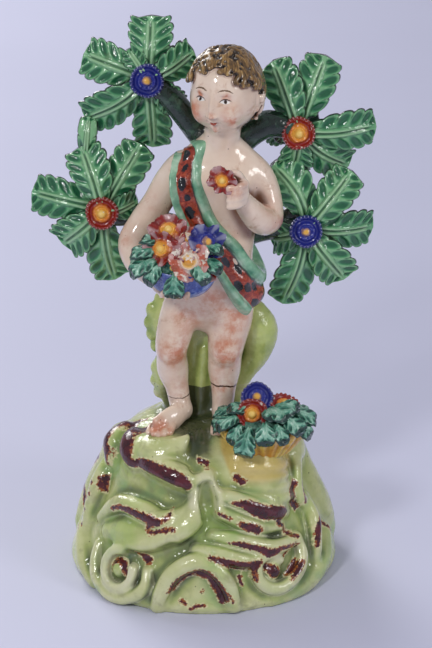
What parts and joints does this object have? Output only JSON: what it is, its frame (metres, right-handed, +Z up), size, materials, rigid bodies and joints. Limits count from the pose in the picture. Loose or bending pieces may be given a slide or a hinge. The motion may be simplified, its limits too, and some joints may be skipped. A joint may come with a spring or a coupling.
{
  "type": "ceramic figure",
  "caption": "Glazed earthenware figure of a child with a bowl of flowers before a flowering tree, on a rocky mound.",
  "frame": {"origin": "centre of the base, on the plane that it stands on", "axes": "+Z up, the figure faces -Y, +X is to the right of a viewer in front of it"},
  "size_m": [0.1043, 0.0832, 0.1701],
  "materials": {
    "glazed_earthenware": "thick clear lead glaze over painted colours, glossy and pooled in the hollows"
  },
  "bodies": {
    "root": {"staffordshire_figure": "glazed_earthenware"}
  },
  "joints": []
}
